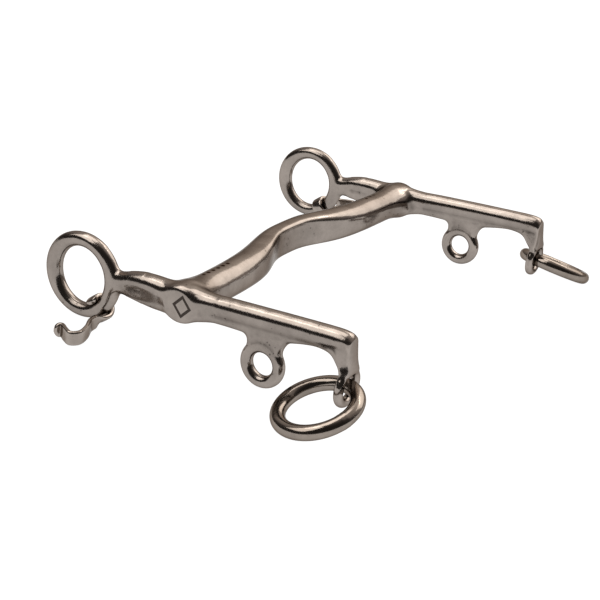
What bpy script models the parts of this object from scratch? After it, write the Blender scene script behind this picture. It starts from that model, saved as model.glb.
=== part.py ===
"""Curb bit with elbow cheeks: a ported mouthpiece between two long cheeks, each with
a bridle eye, a lip-strap eye and a leg that carries a loose rein ring, and a flat
curb hook on each bridle eye.

Metres, +Z up.  The bit stands on its bridle eyes and lip-strap eyes, as it does on a
table.  X runs across the mouth, +Y from the boss to the bridle eye, and the origin is
under the middle of the whole bit, on the table.  Points inside a cheek are given as
(y, z) from the boss, where the mouthpiece enters.
"""

from math import cos, pi, radians, sin

import bmesh
import bpy
from mathutils import Matrix, Vector

MM = 0.001

# Across the bit
MOUTH_WIDTH = 125.0 * MM
BOSS_THICKNESS = 8.0 * MM
JOINT_GAP = 0.3 * MM

# Where the bit stands: height of the boss over the table, and how far the boss is
# ahead of the middle of the bit's length
BOSS_HEIGHT = 20.1 * MM
BOSS_FORWARD = 12.8 * MM

# Mouthpiece: round canons that flatten and arch into a low port
CANON_DIAMETER = 10.4 * MM
CANON_Y = -1.1 * MM
CANON_Z = -3.4 * MM
PORT_RISE = 10.2 * MM
PORT_THICKNESS = 6.2 * MM
PORT_HEIGHT = 10.4 * MM
PORT_HALF_WIDTH = 20.3 * MM
PORT_BACK_HALF_WIDTH = 26.0 * MM
CANON_FLARE = 0.6 * MM
FLARE_LENGTH = 5.0 * MM

# Bridle eye, and where the middle of its wire crosses the end of the cheek bar
BRIDLE_EYE_OUTSIDE = 26.7 * MM
BRIDLE_EYE_WIRE = 4.5 * MM
BRIDLE_EYE_FOOT = 24.8 * MM

# Where the cheek bar turns down into its leg
LEG_Y = -54.0 * MM

# Cheek bar, as stations along it: y, top, bottom, width of the rounded top, width of
# the lower web.  It stays inside the boss's faces, and its end follows the leg.
CHEEK_BAR = [
    (BRIDLE_EYE_FOOT + 0.4 * MM, -2.6 * MM, -10.0 * MM, 4.3 * MM, 4.0 * MM),
    (21.5 * MM, -1.2 * MM, -8.1 * MM, 5.2 * MM, 4.2 * MM),
    (15.0 * MM, 0.2 * MM, -8.5 * MM, 6.0 * MM, 4.8 * MM),
    (9.0 * MM, 1.5 * MM, -8.7 * MM, 6.4 * MM, 5.0 * MM),
    (4.0 * MM, 1.6 * MM, -8.3 * MM, BOSS_THICKNESS - 1.0 * MM, 5.6 * MM),
    (-3.0 * MM, 2.6 * MM, -8.5 * MM, BOSS_THICKNESS - 0.6 * MM, 6.4 * MM),
    (-9.0 * MM, 2.1 * MM, -6.8 * MM, BOSS_THICKNESS - 1.2 * MM, 5.2 * MM),
    (-15.0 * MM, 2.8 * MM, -5.8 * MM, 6.5 * MM, 4.3 * MM),
    (-22.0 * MM, 3.4 * MM, -5.6 * MM, 6.5 * MM, 4.0 * MM),
    (LEG_Y + 20.0 * MM, 4.2 * MM, -4.2 * MM, 6.5 * MM, 4.0 * MM),
    (LEG_Y + 14.0 * MM, 4.5 * MM, -2.6 * MM, 6.5 * MM, 4.0 * MM),
    (LEG_Y + 9.0 * MM, 4.8 * MM, -1.5 * MM, 6.5 * MM, 4.4 * MM),
    (LEG_Y + 4.0 * MM, 5.0 * MM, -1.6 * MM, 6.5 * MM, 5.0 * MM),
    (LEG_Y + 1.0 * MM, 5.1 * MM, -2.2 * MM, 6.5 * MM, 5.4 * MM),
]

# Boss: an upright disc with a flat outer face
BOSS_Y = -1.2 * MM
BOSS_Z = -3.2 * MM
BOSS_LENGTH = 13.4 * MM
BOSS_DEPTH = 11.6 * MM
BOSS_EDGE = 1.2 * MM

# Lip-strap eye below the cheek bar, far enough from the leg for the rein ring to lie
LIP_EYE_Y = LEG_Y + 25.3 * MM
LIP_EYE_OUTSIDE = 14.3 * MM
LIP_EYE_HOLE = 8.3 * MM
LIP_EYE_THICKNESS = 3.6 * MM
LIP_WEB_TOP = -1.0 * MM

# Leg at the end of the cheek, and the eye at its foot that carries the rein ring.
# The legs were bent by hand, so each foot stands at its own place: across, along.
LEG_FOOT = {"left": (0.4 * MM, LEG_Y - 1.0 * MM), "right": (2.4 * MM, LEG_Y - 2.1 * MM)}
LEG_THICKNESS = 3.7 * MM
LEG_TOP = 5.1 * MM
LEG_WIDTH = 6.3 * MM
LEG_FOOT_WIDTH = 8.6 * MM
LEG_EYE_Z = -10.3 * MM
LEG_EYE_BAR = 2.7 * MM

# Rein ring, and how much wider than its wire the leg's hole is
REIN_RING_OUTSIDE = 26.0 * MM
REIN_RING_WIRE = 4.1 * MM
REIN_RING_PLAY = 2.5 * MM

# How each rein ring lies: the way it leans out of its eye, the way its flat side
# faces, and how far its wire has slid across the hole
RING_LIE = {
    "left": ((-0.90, 0.30, -0.29), (-0.275, 0.255, 0.927), 0.4 * MM),
    "right": ((0.81, -0.49, -0.34), (0.333, -0.103, 0.937), 0.3 * MM),
}

# Curb hook: one flat strip, a closed loop round the bridle eye at one end and an
# open hook at the other
HOOK_WIDTH = 4.4 * MM
HOOK_THICKNESS = 1.5 * MM
HOOK_PLAY = 0.45 * MM
HOOK_PLACE = radians(-129.0)
HOOK_LOOP_START = radians(72.0)
HOOK_LOOP_END = radians(324.0)
HOOK_LOOP_STEPS = 14
HOOK_TWIST_STEPS = 4

# Bends of the hook's bow from its lip to its loop: out from the cheek, along the cheek
HOOK_BENDS = [
    (17.3 * MM, 2.6 * MM),
    (15.5 * MM, 1.2 * MM),
    (16.9 * MM, -1.4 * MM),
    (17.8 * MM, -3.9 * MM),
    (15.6 * MM, -5.5 * MM),
    (11.6 * MM, -4.6 * MM),
    (7.2 * MM, -2.4 * MM),
    (3.8 * MM, -1.9 * MM),
]

BRIDLE_EYE_BAR_RADIUS = BRIDLE_EYE_WIRE / 2
BRIDLE_EYE_RADIUS = (BRIDLE_EYE_OUTSIDE - BRIDLE_EYE_WIRE) / 2
BRIDLE_EYE_Y = BRIDLE_EYE_FOOT + BRIDLE_EYE_RADIUS
BRIDLE_EYE_Z = BRIDLE_EYE_OUTSIDE / 2 - BOSS_HEIGHT
LIP_EYE_Z = LIP_EYE_OUTSIDE / 2 - BOSS_HEIGHT
LEG_EYE_HOLE = REIN_RING_WIRE + REIN_RING_PLAY
LEG_EYE_RADIUS = (LEG_EYE_HOLE + LEG_EYE_BAR) / 2
REIN_RING_RADIUS = (REIN_RING_OUTSIDE - REIN_RING_WIRE) / 2
CHEEK_X = (MOUTH_WIDTH + BOSS_THICKNESS) / 2

STEEL = (0.44, 0.40, 0.38, 1.0)


def bit_point(x, y, z):
    """World point of a place given from the boss."""
    return Vector((x, y + BOSS_FORWARD, z + BOSS_HEIGHT))


def loft(rings, closed=False):
    """Skin a row of equal rings of points; the ends are capped unless it closes."""
    bm = bmesh.new()
    rows = [[bm.verts.new(point) for point in ring] for ring in rings]
    if closed:
        rows.append(rows[0])
    for row, following in zip(rows, rows[1:]):
        for k in range(len(row)):
            n = (k + 1) % len(row)
            bm.faces.new((row[k], row[n], following[n], following[k]))
    if not closed:
        bm.faces.new(rows[0])
        bm.faces.new(rows[-1])
    bmesh.ops.recalc_face_normals(bm, faces=bm.faces)
    return bm


def torus(centre, axis, radius, bar_radius, around=32, across=10):
    """A round bar bent into a ring."""
    turn = Vector(axis).to_track_quat("Z", "Y")
    rings = []
    for i in range(around):
        a = 2 * pi * i / around
        spoke = turn @ Vector((cos(a), sin(a), 0))
        ring = []
        for k in range(across):
            b = 2 * pi * k / across
            lift = turn @ Vector((0, 0, bar_radius * sin(b)))
            ring.append(centre + spoke * (radius + bar_radius * cos(b)) + lift)
        rings.append(ring)
    return loft(rings, closed=True)


def disc(centre, length, depth, thickness, edge=0.0, around=32):
    """A disc that stands across X, with its rims bevelled."""
    bm = bmesh.new()
    bmesh.ops.create_cone(bm, cap_ends=True, segments=around, radius1=0.5, radius2=0.5, depth=1.0)
    bmesh.ops.rotate(bm, verts=bm.verts, cent=(0, 0, 0), matrix=Matrix.Rotation(pi / 2, 3, "Y"))
    bmesh.ops.scale(bm, verts=bm.verts, vec=(thickness, length, depth))
    if edge:
        rims = [e for e in bm.edges if abs(e.verts[0].co.x - e.verts[1].co.x) < thickness / 10]
        bmesh.ops.bevel(bm, geom=rims, offset=edge, segments=2, profile=0.6, affect="EDGES")
    bmesh.ops.translate(bm, verts=bm.verts, vec=centre)
    return bm


def make_object(name, bm, origin=(0, 0, 0)):
    """Turn a mesh into an object whose origin is the given world point."""
    bmesh.ops.translate(bm, verts=bm.verts, vec=-Vector(origin))
    mesh = bpy.data.meshes.new(name)
    bm.to_mesh(mesh)
    bm.free()
    mesh.shade_smooth()
    mesh.set_sharp_from_angle(angle=radians(40))
    body = bpy.data.objects.new(name, mesh)
    body.location = origin
    bpy.context.scene.collection.objects.link(body)
    return body


def paint(body, roughness):
    """Give a piece its own polished steel."""
    steel = bpy.data.materials.new(body.name + "_steel")
    steel.use_nodes = True
    shader = steel.node_tree.nodes["Principled BSDF"]
    shader.inputs["Base Color"].default_value = STEEL
    shader.inputs["Metallic"].default_value = 1.0
    shader.inputs["Roughness"].default_value = roughness
    body.data.materials.append(steel)


def combine(body, tool, operation):
    """Weld a helper shape to the body, or cut it away."""
    tool.hide_render = True
    tool.display_type = "WIRE"
    step = body.modifiers.new(tool.name, "BOOLEAN")
    step.operation = operation
    step.solver = "EXACT"
    step.object = tool


def pear_section(x, y, top, bottom, top_width, web_width):
    """Section of the cheek bar: a round back along the top and a flatter web below."""
    points = []
    for i in range(7):
        a = pi * i / 6
        reach = top_width / 2
        points.append(bit_point(x + reach * cos(a), y, top - reach + reach * sin(a)))
    corner = web_width / 5
    half = web_width / 2
    points.append(bit_point(x - half, y, bottom + corner))
    points.append(bit_point(x - half + corner, y, bottom))
    points.append(bit_point(x + half - corner, y, bottom))
    points.append(bit_point(x + half, y, bottom + corner))
    return points


def leg_section(place, width, thickness):
    """Section of the leg at a place on its middle line: a bar with bevelled corners."""
    half, deep, corner = width / 2, thickness / 2, thickness / 5
    outline = [
        (half, deep - corner), (half - corner, deep), (corner - half, deep), (-half, deep - corner),
        (-half, corner - deep), (corner - half, -deep), (half - corner, -deep), (half, corner - deep),
    ]
    return [place + Vector((dx, dy, 0)) for dx, dy in outline]


def leg_hole(side_name, side):
    """Middle of the hole in the leg's foot, where the rein ring hangs."""
    across, along = LEG_FOOT[side_name]
    return bit_point(side * CHEEK_X + across, along, LEG_EYE_Z)


def make_cheek(side_name, side):
    """One cheek: bridle eye, purchase, boss, shank, lip-strap eye, elbow and leg."""
    x = side * CHEEK_X
    name = side_name + "_cheek"
    cheek = make_object(name, loft([pear_section(x, *station) for station in CHEEK_BAR]))
    paint(cheek, 0.2)

    eye_centre = bit_point(x, BRIDLE_EYE_Y, BRIDLE_EYE_Z)
    eye = torus(eye_centre, (1, 0, 0), BRIDLE_EYE_RADIUS, BRIDLE_EYE_BAR_RADIUS, around=40)
    combine(cheek, make_object(name + "_bridle_eye", eye), "UNION")

    boss = disc(bit_point(x, BOSS_Y, BOSS_Z), BOSS_LENGTH, BOSS_DEPTH, BOSS_THICKNESS, BOSS_EDGE)
    combine(cheek, make_object(name + "_boss", boss), "UNION")

    lip_centre = bit_point(x, LIP_EYE_Y, LIP_EYE_Z)
    lip_eye = disc(lip_centre, LIP_EYE_OUTSIDE, LIP_EYE_OUTSIDE, LIP_EYE_THICKNESS, LIP_EYE_THICKNESS / 6)
    combine(cheek, make_object(name + "_lip_eye", lip_eye), "UNION")
    web_half = LIP_EYE_OUTSIDE / 2 - LIP_EYE_THICKNESS / 3
    web = loft([
        [bit_point(x + dx, LIP_EYE_Y + dy, z) for dx, dy in (
            (LIP_EYE_THICKNESS / 2 - JOINT_GAP, web_half), (JOINT_GAP - LIP_EYE_THICKNESS / 2, web_half),
            (JOINT_GAP - LIP_EYE_THICKNESS / 2, -web_half), (LIP_EYE_THICKNESS / 2 - JOINT_GAP, -web_half))]
        for z in (LIP_EYE_Z + LIP_EYE_HOLE / 4, LIP_WEB_TOP)
    ])
    combine(cheek, make_object(name + "_lip_web", web), "UNION")
    hole = disc(lip_centre, LIP_EYE_HOLE, LIP_EYE_HOLE, 3 * LIP_EYE_THICKNESS, around=24)
    combine(cheek, make_object(name + "_lip_hole", hole), "DIFFERENCE")

    hole_centre = leg_hole(side_name, side)
    corner = bit_point(x, LEG_Y, LEG_TOP)
    foot = hole_centre + Vector((0, 0, LEG_EYE_RADIUS))
    leg = loft([
        leg_section(corner, LEG_WIDTH - LEG_THICKNESS / 2, LEG_THICKNESS / 2),
        leg_section(corner.lerp(foot, 0.1), LEG_WIDTH, LEG_THICKNESS),
        leg_section(corner.lerp(foot, 0.6), LEG_WIDTH, LEG_THICKNESS),
        leg_section(foot, LEG_FOOT_WIDTH, LEG_EYE_BAR + JOINT_GAP),
    ])
    combine(cheek, make_object(name + "_leg", leg), "UNION")
    leg_eye = torus(hole_centre, (0, 1, 0), LEG_EYE_RADIUS, LEG_EYE_BAR / 2, around=28)
    combine(cheek, make_object(name + "_leg_eye", leg_eye), "UNION")
    return cheek


def port_share(u, half_width):
    """How far the port has risen at a distance u from the middle: 1 in the middle."""
    return 1 / (1 + (abs(u) / half_width) ** 3)


def mouth_section(x, around=20):
    """Section of the mouthpiece: round canon at the ends, flat-fronted strip in the port."""
    front_share = port_share(x, PORT_HALF_WIDTH)
    back_share = port_share(x, PORT_BACK_HALF_WIDTH)
    to_end = MOUTH_WIDTH / 2 - JOINT_GAP - abs(x)
    flare = CANON_FLARE * max(0.0, 1 - to_end / FLARE_LENGTH) ** 2
    canon = CANON_DIAMETER / 2 + flare
    front = CANON_Y - canon + PORT_RISE * front_share
    back = CANON_Y + canon + (PORT_RISE + PORT_THICKNESS - CANON_DIAMETER) * back_share
    half_height = canon + (PORT_HEIGHT / 2 - canon) * front_share
    squareness = 2 + 4 * front_share
    points = []
    for k in range(around):
        a = 2 * pi * k / around
        power = 2 / squareness if cos(a) < 0 else 2 / (2 + front_share)
        across = abs(cos(a)) ** power * (-1 if cos(a) < 0 else 1)
        up = abs(sin(a)) ** power * (-1 if sin(a) < 0 else 1)
        y = (front + back) / 2 + across * (back - front) / 2
        points.append(bit_point(x, y, CANON_Z + up * half_height))
    return points


def make_mouthpiece():
    """The bar between the cheeks."""
    half = MOUTH_WIDTH / 2 - JOINT_GAP
    steps = 36
    places = [half * (2 * i / steps - 1) for i in range(steps + 1)]
    mouthpiece = make_object("mouthpiece", loft([mouth_section(x) for x in places]))
    paint(mouthpiece, 0.18)
    return mouthpiece


def make_rein_ring(side_name, side):
    """A loose welded ring in the leg's eye.

    It leans out from the eye along toward, and normal is square to its plane; slack is
    how far its wire has slid across the hole.
    """
    toward, normal, slack = RING_LIE[side_name]
    hole = leg_hole(side_name, side)
    normal = Vector(normal).normalized()
    toward = Vector(toward)
    toward = (toward - normal * toward.dot(normal)).normalized()
    centre = hole + toward * (REIN_RING_RADIUS - slack)
    bm = torus(centre, normal, REIN_RING_RADIUS, REIN_RING_WIRE / 2, around=36, across=12)
    ring = make_object(side_name + "_rein_ring", bm, origin=hole)
    paint(ring, 0.15)
    return ring


def curve_through(points, steps=3):
    """Smooth curve through points, a few steps from each to the next."""
    ends = [2 * points[0] - points[1]] + points + [2 * points[-1] - points[-2]]
    curve = []
    for before, start, stop, after in zip(ends, ends[1:], ends[2:], ends[3:]):
        for k in range(steps):
            t = k / steps
            curve.append(0.5 * (
                2 * start + (stop - before) * t
                + (2 * before - 5 * start + 4 * stop - after) * t * t
                + (3 * start - before - 3 * stop + after) * t * t * t
            ))
    curve.append(points[-1])
    return curve


def make_curb_hook(side_name, side):
    """The flat curb hook, closed round the bridle eye and laid out on the table."""
    outward = Vector((side, 0, 0))
    down = Vector((0, cos(HOOK_PLACE), sin(HOOK_PLACE)))
    along_eye = Vector((0, sin(HOOK_PLACE), -cos(HOOK_PLACE)))
    upright = Vector((0, 0, 1))
    eye_centre = bit_point(side * CHEEK_X, BRIDLE_EYE_Y, BRIDLE_EYE_Z)
    loop_centre = eye_centre + down * BRIDLE_EYE_RADIUS
    loop_radius = BRIDLE_EYE_BAR_RADIUS + HOOK_PLAY + HOOK_THICKNESS / 2

    on_table = Vector((loop_centre.x, loop_centre.y, HOOK_WIDTH / 2))
    bends = [on_table + outward * out + Vector((0, along, 0)) for out, along in HOOK_BENDS]
    loop = []
    for i in range(HOOK_LOOP_STEPS + 1):
        turn = HOOK_LOOP_START + (HOOK_LOOP_END - HOOK_LOOP_START) * i / HOOK_LOOP_STEPS
        loop.append(loop_centre + loop_radius * (cos(turn) * outward + sin(turn) * down))
    line = curve_through(bends + loop[:1]) + loop[1:]

    # The strip stands on its edge in the bow and twists into the loop
    twist_to = len(line) - len(loop)
    twist_from = twist_to - HOOK_TWIST_STEPS
    rings = []
    for i, place in enumerate(line):
        share = min(1.0, max(0.0, (i - twist_from) / (twist_to - twist_from)))
        ahead = (line[min(i + 1, len(line) - 1)] - line[max(i - 1, 0)]).normalized()
        width = upright.lerp(along_eye, share)
        width = (width - ahead * width.dot(ahead)).normalized()
        thick = ahead.cross(width)
        ring = []
        for w, t in ((1, -0.5), (1, 0.5), (0.8, 1), (-0.8, 1), (-1, 0.5), (-1, -0.5), (-0.8, -1), (0.8, -1)):
            ring.append(place + width * (w * HOOK_WIDTH / 2) + thick * (t * HOOK_THICKNESS / 2))
        rings.append(ring)
    hook = make_object(side_name + "_curb_hook", loft(rings), origin=loop_centre)
    paint(hook, 0.25)
    return hook


for old in list(bpy.data.objects):
    bpy.data.objects.remove(old, do_unlink=True)

make_mouthpiece()
for side_name, side in (("left", -1), ("right", 1)):
    make_cheek(side_name, side)
    make_curb_hook(side_name, side)
    make_rein_ring(side_name, side)
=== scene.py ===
from math import copysign, cos, exp, pi, radians, sin, sqrt

import bmesh
import bpy
from mathutils import Matrix, Vector


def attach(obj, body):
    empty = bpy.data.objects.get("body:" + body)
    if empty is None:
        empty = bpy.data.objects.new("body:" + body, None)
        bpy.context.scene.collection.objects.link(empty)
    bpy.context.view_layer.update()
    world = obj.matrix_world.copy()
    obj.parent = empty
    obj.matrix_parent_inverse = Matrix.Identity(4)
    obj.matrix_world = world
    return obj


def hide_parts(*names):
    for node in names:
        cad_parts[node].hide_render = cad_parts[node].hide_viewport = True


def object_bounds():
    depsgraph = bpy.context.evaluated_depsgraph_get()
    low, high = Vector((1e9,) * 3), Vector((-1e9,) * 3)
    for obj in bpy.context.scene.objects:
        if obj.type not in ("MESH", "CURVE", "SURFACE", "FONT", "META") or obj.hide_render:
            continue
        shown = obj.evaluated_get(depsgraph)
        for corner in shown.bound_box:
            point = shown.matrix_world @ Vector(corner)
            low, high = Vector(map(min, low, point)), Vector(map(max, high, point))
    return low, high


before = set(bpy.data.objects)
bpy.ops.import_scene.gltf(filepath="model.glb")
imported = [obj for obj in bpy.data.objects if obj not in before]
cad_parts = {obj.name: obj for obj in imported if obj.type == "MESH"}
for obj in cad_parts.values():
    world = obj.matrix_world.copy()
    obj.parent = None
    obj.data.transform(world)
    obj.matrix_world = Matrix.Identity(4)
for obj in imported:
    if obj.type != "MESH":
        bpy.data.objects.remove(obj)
cad_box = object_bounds()


# ---- Table, lamps and camera ----
# The bit lies on a white table.  Two wide soft lamps hang over it, and the room behind
# the camera is dark, so the polished steel shows long light and dark bands.

camera_place = Vector((-0.34037, -0.17071, 0.16416))
camera_aim = Vector((0.80971, 0.43151, -0.39771))
camera_roll = 7.84
lens = bpy.data.cameras.new("camera")
lens.lens = 75.96
lens.sensor_width = 36.0
lens.clip_start = 0.01
camera = bpy.data.objects.new("camera", lens)
turned = camera_aim.to_track_quat("-Z", "Y").to_matrix() @ Matrix.Rotation(radians(camera_roll), 3, "Z")
camera.matrix_world = Matrix.Translation(camera_place) @ turned.to_4x4()
bpy.context.scene.collection.objects.link(camera)
bpy.context.scene.camera = camera
bpy.context.scene.view_settings.view_transform = "Standard"

table_half = 4.0
table_gap = 0.0001
sheet = bmesh.new()
bmesh.ops.create_grid(sheet, x_segments=1, y_segments=1, size=table_half)
bmesh.ops.translate(sheet, verts=sheet.verts, vec=(0, 0, cad_box[0][2] - table_gap))
table_mesh = bpy.data.meshes.new("table")
sheet.to_mesh(table_mesh)
sheet.free()
table = bpy.data.objects.new("table", table_mesh)
bpy.context.scene.collection.objects.link(table)
white = bpy.data.materials.new("white_table")
white.use_nodes = True
paper = white.node_tree.nodes["Principled BSDF"]
paper.inputs["Base Color"].default_value = (0.12, 0.12, 0.12, 1)
paper.inputs["Roughness"].default_value = 1.0
paper.inputs["Specular IOR Level"].default_value = 0.0
paper.inputs["Emission Color"].default_value = (1.0, 1.0, 1.0, 1)
paper.inputs["Emission Strength"].default_value = 0.98
table_mesh.materials.append(white)

lamp_colour = (1.0, 0.96, 0.91)
for name, place, width, depth, watts in (
    ("front_box", (1.02, -0.30, 0.76), 1.30, 1.0, 7.2),
    ("back_box", (-0.60, 0.68, 1.00), 1.0, 0.8, 6.5),
    ("top_box", (0.05, 0.45, 1.25), 0.9, 0.8, 6.0),
    ("strip_lamp", (0.78, -0.12, 0.98), 0.75, 0.05, 1.0),
):
    lamp = bpy.data.lights.new(name, "AREA")
    lamp.shape = "RECTANGLE"
    lamp.size = width
    lamp.size_y = depth
    lamp.energy = watts
    lamp.color = lamp_colour
    soft_box = bpy.data.objects.new(name, lamp)
    facing = (-Vector(place)).to_track_quat("-Z", "Y").to_matrix().to_4x4()
    soft_box.matrix_world = Matrix.Translation(place) @ facing
    soft_box.visible_camera = False
    bpy.context.scene.collection.objects.link(soft_box)

# The room, from its dark side to its bright side; behind the bit it is plain and pale
room = bpy.data.worlds.new("room")
room.use_nodes = True
nodes = room.node_tree.nodes
links = room.node_tree.links
direction = nodes.new("ShaderNodeTexCoord")
across = nodes.new("ShaderNodeVectorMath")
across.operation = "DOT_PRODUCT"
across.inputs[1].default_value = (0.75, 0.10, 0.65)
links.new(direction.outputs["Generated"], across.inputs[0])
walls = nodes.new("ShaderNodeValToRGB")
walls.color_ramp.interpolation = "EASE"
walls.color_ramp.elements[0].color = (0.04, 0.036, 0.034, 1)
walls.color_ramp.elements[1].color = (1.2, 1.1, 1.0, 1)
for at, colour in (
    (0.32, (0.09, 0.08, 0.075, 1)),
    (0.52, (0.38, 0.34, 0.32, 1)),
    (0.80, (0.66, 0.60, 0.55, 1)),
):
    walls.color_ramp.elements.new(at).color = colour
links.new(across.outputs["Value"], walls.inputs["Fac"])
links.new(walls.outputs["Color"], nodes["Background"].inputs["Color"])
backdrop = nodes.new("ShaderNodeBackground")
backdrop.inputs["Color"].default_value = (0.9, 0.9, 0.9, 1)
seen = nodes.new("ShaderNodeLightPath")
either = nodes.new("ShaderNodeMixShader")
links.new(seen.outputs["Is Camera Ray"], either.inputs[0])
links.new(nodes["Background"].outputs[0], either.inputs[1])
links.new(backdrop.outputs[0], either.inputs[2])
links.new(either.outputs[0], nodes["World Output"].inputs[0])
bpy.context.scene.world = room


# ---- The bar of the bit: two cheeks and the mouthpiece ----
# Each cheek is one forging: bridle eye, purchase, boss, shank, lip-strap eye and leg.
# The mouthpiece is welded between the bosses, and the welds are ground and polished
# until the three pieces share one skin.  Lengths are millimetres from the boss.

cheek_x = 66.5
mouth_end = 62.2
boss_place = Vector((0, 12.8, 20.1))
bridle_eye = Vector((0, 35.9, -6.75))
bridle_eye_radius = 11.1
lip_eye = Vector((0, -28.7, -12.95))
boss_size = (8.0, 13.4, 11.8)
boss_middle = Vector((0, -1.2, -3.2))
boss_rim = 1.7
elbow_drawn = -54.0
shank_top = 5.1
leg_eye_up = -10.3
leg_eye_top = 4.4
canon_radius = 5.2
canon_along = -1.1
canon_up = -3.4
port_rise_front = 10.2
port_rise_back = 6.0
flare_length = 9.0


def pull_bar(blank, sections):
    """Pull a bar through a row of sections."""
    end = blank.faces.new([blank.verts.new(point) for point in sections[0]])
    for k, section in enumerate(sections[1:]):
        pulled = bmesh.ops.extrude_face_region(blank, geom=[end])
        if k:
            bmesh.ops.delete(blank, geom=[end], context="FACES_ONLY")
        end = next(item for item in pulled["geom"] if isinstance(item, bmesh.types.BMFace))
        for corner, point in zip(end.verts, section):
            corner.co = point


def smooth_row(stations, steps):
    """More stations, on the smooth curve through the given ones."""
    row = [Vector(station) for station in stations]
    row = [2 * row[0] - row[1]] + row + [2 * row[-1] - row[-2]]
    curve = []
    for before, start, stop, after in zip(row, row[1:], row[2:], row[3:]):
        for k in range(steps):
            t = k / steps
            curve.append(0.5 * (
                2 * start + (stop - before) * t
                + (2 * before - 5 * start + 4 * stop - after) * t * t
                + (3 * start - before - 3 * stop + after) * t * t * t
            ))
    curve.append(row[-2])
    return curve


def rounded(value, power):
    """A sine or cosine raised to a power with its sign kept: under 1 squares a circle off."""
    return copysign(abs(value) ** power, value)


def bend_ring(blank, centre, axis, radius, wide, thick, power, steps):
    """Bend a bar into a closed ring: wide in the ring's plane, thick across it."""
    before = set(blank.verts)
    section = []
    for k in range(32):
        a = 2 * pi * k / 32
        out = rounded(cos(a), power)
        up = rounded(sin(a), power)
        section.append(blank.verts.new((radius + out * wide / 2, 0, up * thick / 2)))
    rim = [blank.edges.new((a, b)) for a, b in zip(section, section[1:] + section[:1])]
    bmesh.ops.spin(
        blank, geom=section + rim, cent=(0, 0, 0), axis=(0, 0, 1),
        angle=2 * pi, steps=steps, use_merge=True
    )
    ring = [corner for corner in blank.verts if corner not in before]
    facing = Vector(axis).to_track_quat("Z", "Y").to_matrix()
    bmesh.ops.rotate(blank, verts=ring, cent=(0, 0, 0), matrix=facing)
    bmesh.ops.translate(blank, verts=ring, vec=centre)
    return ring


# Cheek bar: along, top, bottom, width of the round back, width of the web below
cheek_stations = smooth_row([
    (25.8, -1.2, -11.6, 4.0, 3.8), (24.4, -1.9, -10.2, 4.5, 4.0),
    (21.5, -1.1, -8.2, 5.3, 4.0), (18.0, 0.1, -8.2, 5.8, 4.2), (14.0, 1.1, -8.5, 6.4, 4.8),
    (9.5, 1.5, -8.7, 6.8, 5.6), (5.0, 1.6, -8.5, 7.3, 6.4),
    (1.0, 2.3, -8.6, 7.8, 7.0), (-3.0, 2.7, -8.5, 7.8, 7.0), (-7.0, 2.3, -7.5, 7.2, 6.0),
    (-12.0, 2.4, -6.1, 6.6, 4.8), (-18.0, 3.0, -5.6, 6.5, 4.2), (-26.0, 3.7, -5.2, 6.5, 4.0),
    (-34.0, 4.4, -4.3, 6.5, 4.0), (-40.0, 4.9, -2.7, 6.5, 4.0), (-45.0, 5.3, -1.7, 6.5, 4.3),
    (-49.0, 5.6, -1.9, 6.5, 5.0), (-51.0, 5.7, -3.0, 6.5, 5.4), (-52.6, 5.7, -5.0, 6.4, 5.6),
    (-54.6, 5.4, -6.6, 6.2, 5.6), (-55.4, 4.7, -7.0, 5.8, 5.6), (-55.9, 3.4, -7.0, 5.4, 5.4),
], 3)


def cheek_section(x, along, top, bottom, back, web):
    """A round back above a narrower web with soft lower corners."""
    section = []
    neck = min(1.0, max(0.0, (along - 17) / 4))
    deep = back / 2 + neck * max(0.0, 0.46 * (top - bottom) - back / 2)
    under = radians(40) * min(1.0, max(0.0, (abs(along + 0.5) - 7) / 5)) * (1 - neck)
    for k in range(17):
        a = (pi + 2 * under) * k / 16 - under
        section.append((x + back / 2 * cos(a), along, top - deep + deep * sin(a)))
    soft = web / 2.4
    for side, start in ((-1, pi), (1, 1.5 * pi)):
        for k in range(5):
            a = start + pi / 2 * k / 4
            across = side * (web / 2 - soft) + soft * cos(a)
            section.append((x + across, along, bottom + soft + soft * sin(a)))
    return section


def leg_section(place, wide, thick):
    """Rounded oblong across the leg."""
    section = []
    for k in range(24):
        a = 2 * pi * k / 24
        out = rounded(cos(a), 0.5)
        ahead = rounded(sin(a), 0.5)
        section.append(place + Vector((out * wide / 2, ahead * thick / 2, 0)))
    return section


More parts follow.
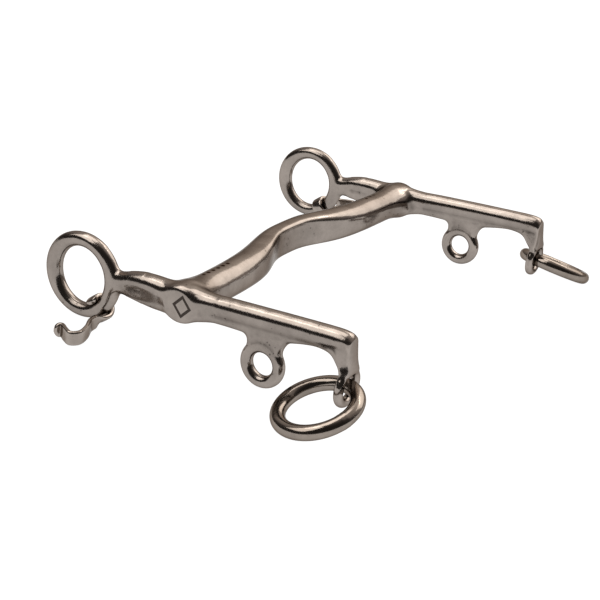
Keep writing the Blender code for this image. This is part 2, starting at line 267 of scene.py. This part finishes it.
def add_cheek(blank, x, elbow_along, foot_across, foot_along):
    """Lay out one cheek's stock, with its elbow drawn out to its own length."""
    across = Vector((x, 0, 0))
    sections = []
    for along, top, bottom, back, web in cheek_stations:
        drawn = along + (elbow_along - elbow_drawn) * min(1.0, max(0.0, (-along - 30) / 20))
        sections.append(cheek_section(x, drawn, top, bottom, back, web))
    pull_bar(blank, sections)

    # The bridle eye's wire is thicker towards the purchase and opposite it
    centre = across + bridle_eye
    eye = bend_ring(
        blank, centre, axis=(1, 0, 0), radius=bridle_eye_radius, wide=4.5, thick=4.6, power=1.0, steps=96
    )
    for point in eye:
        spoke = (point.co - centre) * Vector((0, 1, 1))
        swell = 0.2 * (spoke.y / spoke.length) ** 2
        point.co += spoke.normalized() * ((spoke.length - bridle_eye_radius) * swell)

    # The boss is a thick oval disc with round rims
    before = set(blank.verts)
    bmesh.ops.create_cone(blank, cap_ends=True, segments=72, radius1=0.5, radius2=0.5, depth=1.0)
    disc = [corner for corner in blank.verts if corner not in before]
    bmesh.ops.rotate(blank, verts=disc, cent=(0, 0, 0), matrix=Matrix.Rotation(pi / 2, 3, "Y"))
    bmesh.ops.scale(blank, verts=disc, vec=boss_size)
    bmesh.ops.translate(blank, verts=disc, vec=across + boss_middle)
    rims = {e for v in disc for e in v.link_edges if abs(e.verts[0].co.x - e.verts[1].co.x) < 0.1}
    bmesh.ops.bevel(
        blank, geom=list(rims), offset=boss_rim, segments=4, profile=0.5, affect="EDGES", material=-1
    )

    # The lip-strap eye hangs under the shank on a short flat web
    centre = across + lip_eye
    bend_ring(blank, centre, axis=(1, 0, 0), radius=5.3, wide=3.7, thick=3.8, power=1.0, steps=80)
    corners = (1, -0.8), (1, 0.8), (0.5, 1), (-0.5, 1), (-1, 0.8), (-1, -0.8), (-0.5, -1), (0.5, -1)
    web = []
    for up, half, thick in ((4.7, 5.6, 3.0), (6.0, 5.7, 3.1), (7.5, 6.3, 3.3), (9.5, 7.8, 3.9)):
        web.append([centre + Vector((dx * thick / 2, dy * half, up)) for dx, dy in corners])
    pull_bar(blank, web)

    # The leg goes down from the elbow and spreads into its eye
    corner = Vector((x, elbow_along, shank_top))
    leg_eye = Vector((x + foot_across, foot_along, leg_eye_up))
    foot = leg_eye + Vector((0, 0, leg_eye_top))
    leg = []
    for down, wide, thick in (
        (0.12, 6.2, 5.4), (0.25, 6.3, 5.6), (0.45, 6.2, 5.2),
        (0.65, 6.3, 4.6), (0.8, 7.0, 4.1), (0.92, 8.1, 3.6), (1.0, 8.4, 3.2),
    ):
        inward = Vector((0, (thick - 3.4) / 2, 0))
        leg.append(leg_section(corner.lerp(foot, down) + inward, wide, thick))
    pull_bar(blank, leg)
    bend_ring(blank, leg_eye, axis=(0, 1, 0), radius=4.65, wide=2.7, thick=2.8, power=2 / 2.2, steps=64)


def mouth_section(x):
    """Round canon at the ends, upright flat-fronted strip in the port."""
    front_share = 1 / (1 + (abs(x) / 20.3) ** 3)
    back_share = 1 / (1 + (abs(x) / 26.0) ** 3)
    flare = max(0.0, 1 - (mouth_end - abs(x)) / flare_length) ** 2
    canon = canon_radius + 0.7 * flare
    front = canon_along - canon + port_rise_front * front_share - 1.3 * flare
    back = canon_along + canon + port_rise_back * back_share + 0.5 * flare
    half_height = canon + (canon_radius - canon) * front_share
    section = []
    for k in range(48):
        a = 2 * pi * k / 48
        power = 2 / (2 + 4 * front_share) if cos(a) < 0 else 2 / (2 + front_share)
        ahead = rounded(cos(a), power)
        up = rounded(sin(a), power)
        along = (front + back) / 2 + ahead * (back - front) / 2
        section.append((x, along, canon_up + up * half_height))
    return section


stock = bmesh.new()
pull_bar(stock, [mouth_section(64.0 * k / 48) for k in range(-48, 49)])
add_cheek(stock, -cheek_x, elbow_along=-53.7, foot_across=0.4, foot_along=-55.0)
add_cheek(stock, cheek_x, elbow_along=-55.2, foot_across=2.4, foot_along=-56.1)
bmesh.ops.recalc_face_normals(stock, faces=stock.faces)
stock_mesh = bpy.data.meshes.new("stock")
stock.to_mesh(stock_mesh)
stock.free()
bar = bpy.data.objects.new("stock", stock_mesh)
bpy.context.scene.collection.objects.link(bar)

# Fuse the overlapping stock, fill its inner corners with weld, grind back and polish
weld_fill = 1.3
coarse_grit = 0.35
fine_grit = 0.26
for name, grit, grow in (
    ("fuse", coarse_grit, weld_fill), ("fill", coarse_grit, -weld_fill), ("grind", fine_grit, 0.0)
):
    step = bar.modifiers.new(name, "REMESH")
    step.mode = "VOXEL"
    step.voxel_size = grit
    if grow:
        step = bar.modifiers.new(name + "_skin", "DISPLACE")
        step.strength = grow
        step.mid_level = 0.0
step = bar.modifiers.new("polish", "SMOOTH")
step.factor = 0.5
step.iterations = 14
fused = bar.evaluated_get(bpy.context.evaluated_depsgraph_get())
bar_mesh = bpy.data.meshes.new_from_object(fused)
bpy.data.objects.remove(bar)


def feel_edges(part, rounds, unit):
    """Mark how sharply the skin bends at each point, and how far it faces down.

    The bend is over 0 on ridges and under 0 in corners.
    """
    bend = part.verts.layers.float.new("bend")
    underside_shade = part.verts.layers.float.new("underside_shade")
    part.verts.ensure_lookup_table()
    part.normal_update()
    value = []
    for point in part.verts:
        ring = [edge.other_vert(point) for edge in point.link_edges]
        total = 0.0
        for other in ring:
            away = point.co - other.co
            total += point.normal.dot(away) / max(away.length_squared, 1e-12)
        value.append(2 * total / max(1, len(ring)) * unit)
    near = [[edge.other_vert(point).index for edge in point.link_edges] for point in part.verts]
    for _ in range(rounds):
        value = [
            (own + sum(value[n] for n in around) / len(around)) / 2
            for own, around in zip(value, near)
        ]
    for point, amount in zip(part.verts, value):
        point[bend] = max(-1.0, min(1.0, amount))
        # Painted shade: the second layer says how far a point faces down, and the steel's colour darkens by
        # it.
        point[underside_shade] = max(0.0, -point.normal.z - 0.25)


# The bosses and the roots of the eyes are rubbed longer, until no rim is left
skin = bmesh.new()
skin.from_mesh(bar_mesh)
for passes, low, high in ((34, -13.0, 13.0), (28, 19.0, 28.5)):
    rubbed = [point for point in skin.verts if abs(point.co.x) > 55 and low < point.co.y < high]
    for _ in range(passes):
        bmesh.ops.smooth_vert(
            skin, verts=rubbed, factor=0.5, use_axis_x=True, use_axis_y=True, use_axis_z=True
        )
feel_edges(skin, 3, 1.0)
skin.to_mesh(bar_mesh)
skin.free()


def keep_between(low, high):
    """The part of the bar between two planes across it, closed at its cuts, in metres."""
    part = bmesh.new()
    part.from_mesh(bar_mesh)
    for plane, outward in ((low, -1), (high, 1)):
        if plane is None:
            continue
        cut = bmesh.ops.bisect_plane(
            part, geom=part.verts[:] + part.edges[:] + part.faces[:],
            plane_co=(plane, 0, 0), plane_no=(outward, 0, 0), clear_outer=True
        )
        rim = [item for item in cut["geom_cut"] if isinstance(item, bmesh.types.BMEdge)]
        caps = bmesh.ops.edgeloop_fill(part, edges=rim)["faces"]
        for edge in rim:
            edge.smooth = False
        bmesh.ops.recalc_face_normals(part, faces=caps)
    bmesh.ops.recalc_face_normals(part, faces=part.faces)
    bmesh.ops.translate(part, verts=part.verts, vec=boss_place)
    bmesh.ops.scale(part, verts=part.verts, vec=(0.001, 0.001, 0.001))
    for face in part.faces:
        face.smooth = True
    return part


def finish_piece(name, part, material):
    """Turn the finished mesh into a piece of its own."""
    mesh = bpy.data.meshes.new(name)
    part.to_mesh(mesh)
    part.free()
    piece = bpy.data.objects.new(name, mesh)
    mesh.materials.append(material)
    bpy.context.scene.collection.objects.link(piece)
    return piece


def add_node(tree, kind, **settings):
    """A shader node with its settings."""
    node = tree.nodes.new("ShaderNode" + kind)
    for key, value in settings.items():
        if key in node.inputs:
            node.inputs[key].default_value = value
        else:
            setattr(node, key, value)
    return node


def sum_node(tree, operation, first, second=None, third=None, clamp=False):
    """One sum on numbers or sockets."""
    node = tree.nodes.new("ShaderNodeMath")
    node.operation = operation
    node.use_clamp = clamp
    for socket, value in zip(node.inputs, (first, second, third)):
        if value is None:
            continue
        if isinstance(value, (int, float)):
            socket.default_value = value
        else:
            tree.links.new(value, socket)
    return node.outputs[0]


def polished_steel(name, bright, dull_and_shade, rough, scratch, marks=None):
    """Hand-polished steel: wavy grinding, fine scratches, pits, bright ridges, rougher inner corners, and
    painted shade in the corners and on the undersides.

    rough is how matt the clean skin is, and scratch is how deep the fine scratches go.
    """
    steel = bpy.data.materials.new(name)
    steel.use_nodes = True
    tree = steel.node_tree
    link = tree.links.new
    shader = tree.nodes["Principled BSDF"]
    shader.inputs["Metallic"].default_value = 1.0
    shader.inputs["Specular Tint"].default_value = (0.42, 0.39, 0.37, 1)
    place = add_node(tree, "TexCoord").outputs["Object"]

    cloud = add_node(tree, "TexNoise", Scale=90.0, Detail=4.0, Roughness=0.6)
    speck = add_node(tree, "TexNoise", Scale=900.0, Detail=3.0, Roughness=0.6)
    stretch = add_node(tree, "Mapping", Scale=(900.0, 5000.0, 1600.0), Rotation=(0.4, 0.2, 0.7))
    hairs = add_node(tree, "TexNoise", Scale=1.0, Detail=2.0, Roughness=0.5)
    ripple = add_node(tree, "TexNoise", Scale=120.0, Detail=1.5, Roughness=0.4)
    pits = add_node(tree, "TexVoronoi", Scale=620.0)
    for texture in (cloud, speck, ripple, pits, stretch):
        link(place, texture.inputs["Vector"])
    link(stretch.outputs["Vector"], hairs.inputs["Vector"])
    bend = add_node(tree, "Attribute", attribute_name="bend").outputs["Fac"]
    # Inner corners get a rougher skin, and their colour is darkened as painted shade.
    corner = sum_node(tree, "MULTIPLY", bend, -3.0, clamp=True)
    ridge = sum_node(tree, "MULTIPLY_ADD", bend, 2.4, -0.5, clamp=True)
    few = sum_node(tree, "GREATER_THAN", cloud.outputs["Fac"], 0.56)
    pit = sum_node(tree, "LESS_THAN", pits.outputs["Distance"], 0.17)
    pit = sum_node(tree, "MULTIPLY", pit, few)

    shade = sum_node(tree, "MULTIPLY_ADD", cloud.outputs["Fac"], 0.9, -0.33)
    shade = sum_node(tree, "MULTIPLY_ADD", speck.outputs["Fac"], 0.2, shade)
    # Painted shade in the inner corners.
    shade = sum_node(tree, "MULTIPLY_ADD", corner, 0.75, shade)
    shade = sum_node(tree, "MULTIPLY_ADD", pit, 0.45, shade)
    # Painted shade on the undersides: the more the skin faces down, the darker its colour is painted.
    underside_shade = add_node(tree, "Attribute", attribute_name="underside_shade").outputs["Fac"]
    shade = sum_node(tree, "MULTIPLY_ADD", underside_shade, 0.55, shade)
    shade = sum_node(tree, "MULTIPLY_ADD", ridge, -0.35, shade, clamp=True)
    if marks:
        cut = marks(tree, place)
        shade = sum_node(tree, "MAXIMUM", shade, cut)
    # The colour goes from the bright steel to the dark one: random tone, pits and marks, with painted shade
    # in the corners and on the undersides.
    colour = add_node(tree, "MixRGB")
    colour.inputs["Color1"].default_value = (*bright, 1)
    colour.inputs["Color2"].default_value = (*dull_and_shade, 1)
    link(shade, colour.inputs["Fac"])
    link(colour.outputs["Color"], shader.inputs["Base Color"])

    rub = sum_node(tree, "MULTIPLY_ADD", cloud.outputs["Fac"], 0.16, rough - 0.08)
    rub = sum_node(tree, "MULTIPLY_ADD", hairs.outputs["Fac"], 0.07, rub)
    rub = sum_node(tree, "MULTIPLY_ADD", corner, 0.22, rub, clamp=True)
    link(rub, shader.inputs["Roughness"])

    height = sum_node(tree, "MULTIPLY", ripple.outputs["Fac"], 3.0)
    height = sum_node(tree, "MULTIPLY_ADD", hairs.outputs["Fac"], scratch, height)
    height = sum_node(tree, "MULTIPLY_ADD", pit, -0.12, height)
    if marks:
        height = sum_node(tree, "MULTIPLY_ADD", cut, -1.2, height)
    bump = add_node(tree, "Bump", Strength=1.0, Distance=0.00009)
    link(height, bump.inputs["Height"])
    link(bump.outputs["Normal"], shader.inputs["Normal"])
    return steel


def boss_lozenge(tree, place):
    """A plain engraved lozenge on the left boss's outer face."""
    axes = add_node(tree, "SeparateXYZ")
    tree.links.new(place, axes.inputs[0])
    reach = None
    for axis, middle, half in (("Y", 0.0101, 0.0032), ("Z", 0.0170, 0.0035)):
        from_middle = sum_node(tree, "SUBTRACT", axes.outputs[axis], middle)
        share = sum_node(tree, "DIVIDE", sum_node(tree, "ABSOLUTE", from_middle), half)
        reach = share if reach is None else sum_node(tree, "ADD", reach, share)
    from_line = sum_node(tree, "ABSOLUTE", sum_node(tree, "SUBTRACT", reach, 0.84))
    line = sum_node(tree, "LESS_THAN", from_line, 0.17)
    outer = sum_node(tree, "LESS_THAN", axes.outputs["X"], -0.0695)
    return sum_node(tree, "MULTIPLY", line, outer)


def punch_dots(tree, place):
    """Rows of small punched dots on the canons."""
    dot_radius = 0.00062
    near = None
    dots = [(-0.0565 + 0.0025 * k, 0.0130, 0.0219) for k in range(6)]
    dots += [(0.0440 + 0.0028 * k, 0.0134, 0.0219) for k in range(3)]
    for dot in dots:
        gap = add_node(tree, "VectorMath", operation="DISTANCE")
        tree.links.new(place, gap.inputs[0])
        gap.inputs[1].default_value = dot
        far = gap.outputs["Value"]
        near = far if near is None else sum_node(tree, "MINIMUM", near, far)
    return sum_node(tree, "LESS_THAN", near, dot_radius)


# The dark colour is used for random tone, pits and marks, and for the painted shade in the corners and on
# the undersides.
bright_steel = (0.325, 0.286, 0.258)
dull_steel_and_shade = (0.045, 0.037, 0.032)
for name, low, high, marks in (
    ("left_cheek", None, -mouth_end, boss_lozenge),
    ("mouthpiece", -mouth_end, mouth_end, punch_dots),
    ("right_cheek", mouth_end, None, None),
):
    part = keep_between(low, high)
    steel = polished_steel(name + "_polish", bright_steel, dull_steel_and_shade, 0.13, 0.2, marks)
    piece = finish_piece("polished_" + name, part, steel)
    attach(piece, "bit")
    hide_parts(name)


# ---- Curb hooks ----
# A flat steel strip bent cold: a closed loop round the bridle eye, a quarter twist, and
# a bow that ends in an outward lip.  Its ends are filed round.

strip_width = 4.4
strip_thickness = 1.5
loop_radius = 3.45
loop_start = 72
loop_turn = 252
end_round = 1.7
end_thin = 0.5
hang_angle = -129
twist_length = 19
# The bow and lip, outward from the loop's centre and along the cheek
hook_bends = [
    (17.3, 2.6), (15.5, 1.2), (16.9, -1.4), (17.8, -3.9),
    (15.6, -5.5), (11.6, -4.6), (7.2, -2.4), (3.8, -1.9)
]
hook_steel = (0.33, 0.29, 0.26)
for side, name in ((-1, "left"), (1, "right")):
    outward = Vector((side, 0, 0))
    down = Vector((0, cos(radians(hang_angle)), sin(radians(hang_angle))))
    along_eye = Vector((0, down.z, -down.y))
    eye_centre = boss_place + bridle_eye + side * Vector((cheek_x, 0, 0))
    loop_centre = eye_centre + bridle_eye_radius * down
    bends = [
        Vector((loop_centre.x, loop_centre.y, strip_width / 2)) + outward * out + Vector((0, along, 0))
        for out, along in hook_bends
    ]
    loop = []
    for k in range(37):
        turn = radians(loop_start + loop_turn * k / 36)
        loop.append(loop_centre + loop_radius * (cos(turn) * outward + sin(turn) * down))
    line = smooth_row(bends + loop[:1], 14) + loop[1:]
    twist_end = len(line) - len(loop)
    twist_start = twist_end - twist_length
    run = [0.0]
    for a, b in zip(line, line[1:]):
        run.append(run[-1] + (b - a).length)
    sections = []
    for k, place in enumerate(line):
        share = min(1.0, max(0.0, (k - twist_start) / (twist_end - twist_start)))
        share = share * share * (3 - 2 * share)
        ahead = (line[min(k + 1, len(line) - 1)] - line[max(k - 1, 0)]).normalized()
        width = Vector((0, 0, 1)).lerp(along_eye, share)
        width = (width - ahead * width.dot(ahead)).normalized()
        thick = ahead.cross(width)
        to_end = min(run[k], run[-1] - run[k])
        filed = sqrt(max(0.06, 1 - max(0.0, 1 - to_end / end_round) ** 2))
        thin = sqrt(max(0.2, 1 - max(0.0, 1 - to_end / end_thin) ** 2))
        section = []
        for j in range(20):
            a = 2 * pi * j / 20
            w = rounded(cos(a), 0.42) * filed
            t = rounded(sin(a), 0.55) * thin
            section.append(place + width * (w * strip_width / 2) + thick * (t * strip_thickness / 2))
        sections.append(section)
    strip = bmesh.new()
    pull_bar(strip, sections)
    bmesh.ops.recalc_face_normals(strip, faces=strip.faces)
    bmesh.ops.scale(strip, verts=strip.verts, vec=(0.001, 0.001, 0.001))
    for face in strip.faces:
        face.smooth = True
    feel_edges(strip, 6, 0.001)
    steel = polished_steel(name + "_hook_steel", hook_steel, dull_steel_and_shade, 0.15, 0.12)
    hook = finish_piece(name + "_bent_hook", strip, steel)
    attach(hook, name + "_hook")
    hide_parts(name + "_curb_hook")


# ---- Rein rings ----
# Round steel wire bent to a ring through the leg's eye, butt-welded and filed, so one
# place on it stays a little thick and dull.

ring_radius = 10.95
ring_wire = 4.3
bead_height = 0.10
bead_groove = 0.12
ring_steel = (0.30, 0.26, 0.228)
for name, hole, toward, normal, slack, weld_at in (
    ("left", (-66.1, -42.2, 9.8), (-0.90, 0.30, -0.29), (-0.275, 0.255, 0.927), 0.4, 88),
    ("right", (68.9, -43.3, 9.8), (0.81, -0.49, -0.34), (0.333, -0.103, 0.937), 0.3, 60),
):
    normal = Vector(normal).normalized()
    toward = Vector(toward)
    toward = (toward - normal * toward.dot(normal)).normalized()
    centre = Vector(hole) + toward * (ring_radius - slack)
    beside = normal.cross(toward)
    wire = bmesh.new()
    bend_ring(
        wire, centre, axis=normal, radius=ring_radius, wide=ring_wire, thick=ring_wire, power=1.0, steps=160
    )
    weld = centre + ring_radius * (cos(radians(weld_at)) * toward + sin(radians(weld_at)) * beside)
    for point in wire.verts:
        spoke = point.co - centre
        middle = centre + ring_radius * (spoke - normal * spoke.dot(normal)).normalized()
        gap = (middle - weld).length
        bead = bead_height * exp(-(gap / 0.9) ** 2) - bead_groove * exp(-(gap / 0.25) ** 2)
        point.co += (point.co - middle).normalized() * bead
    bmesh.ops.recalc_face_normals(wire, faces=wire.faces)
    bmesh.ops.scale(wire, verts=wire.verts, vec=(0.001, 0.001, 0.001))
    for face in wire.faces:
        face.smooth = True
    feel_edges(wire, 4, 0.001)
    steel = polished_steel(name + "_ring_steel", ring_steel, dull_steel_and_shade, 0.12, 0.07)
    ring = finish_piece(name + "_welded_ring", wire, steel)
    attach(ring, name + "_ring")
    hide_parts(name + "_rein_ring")
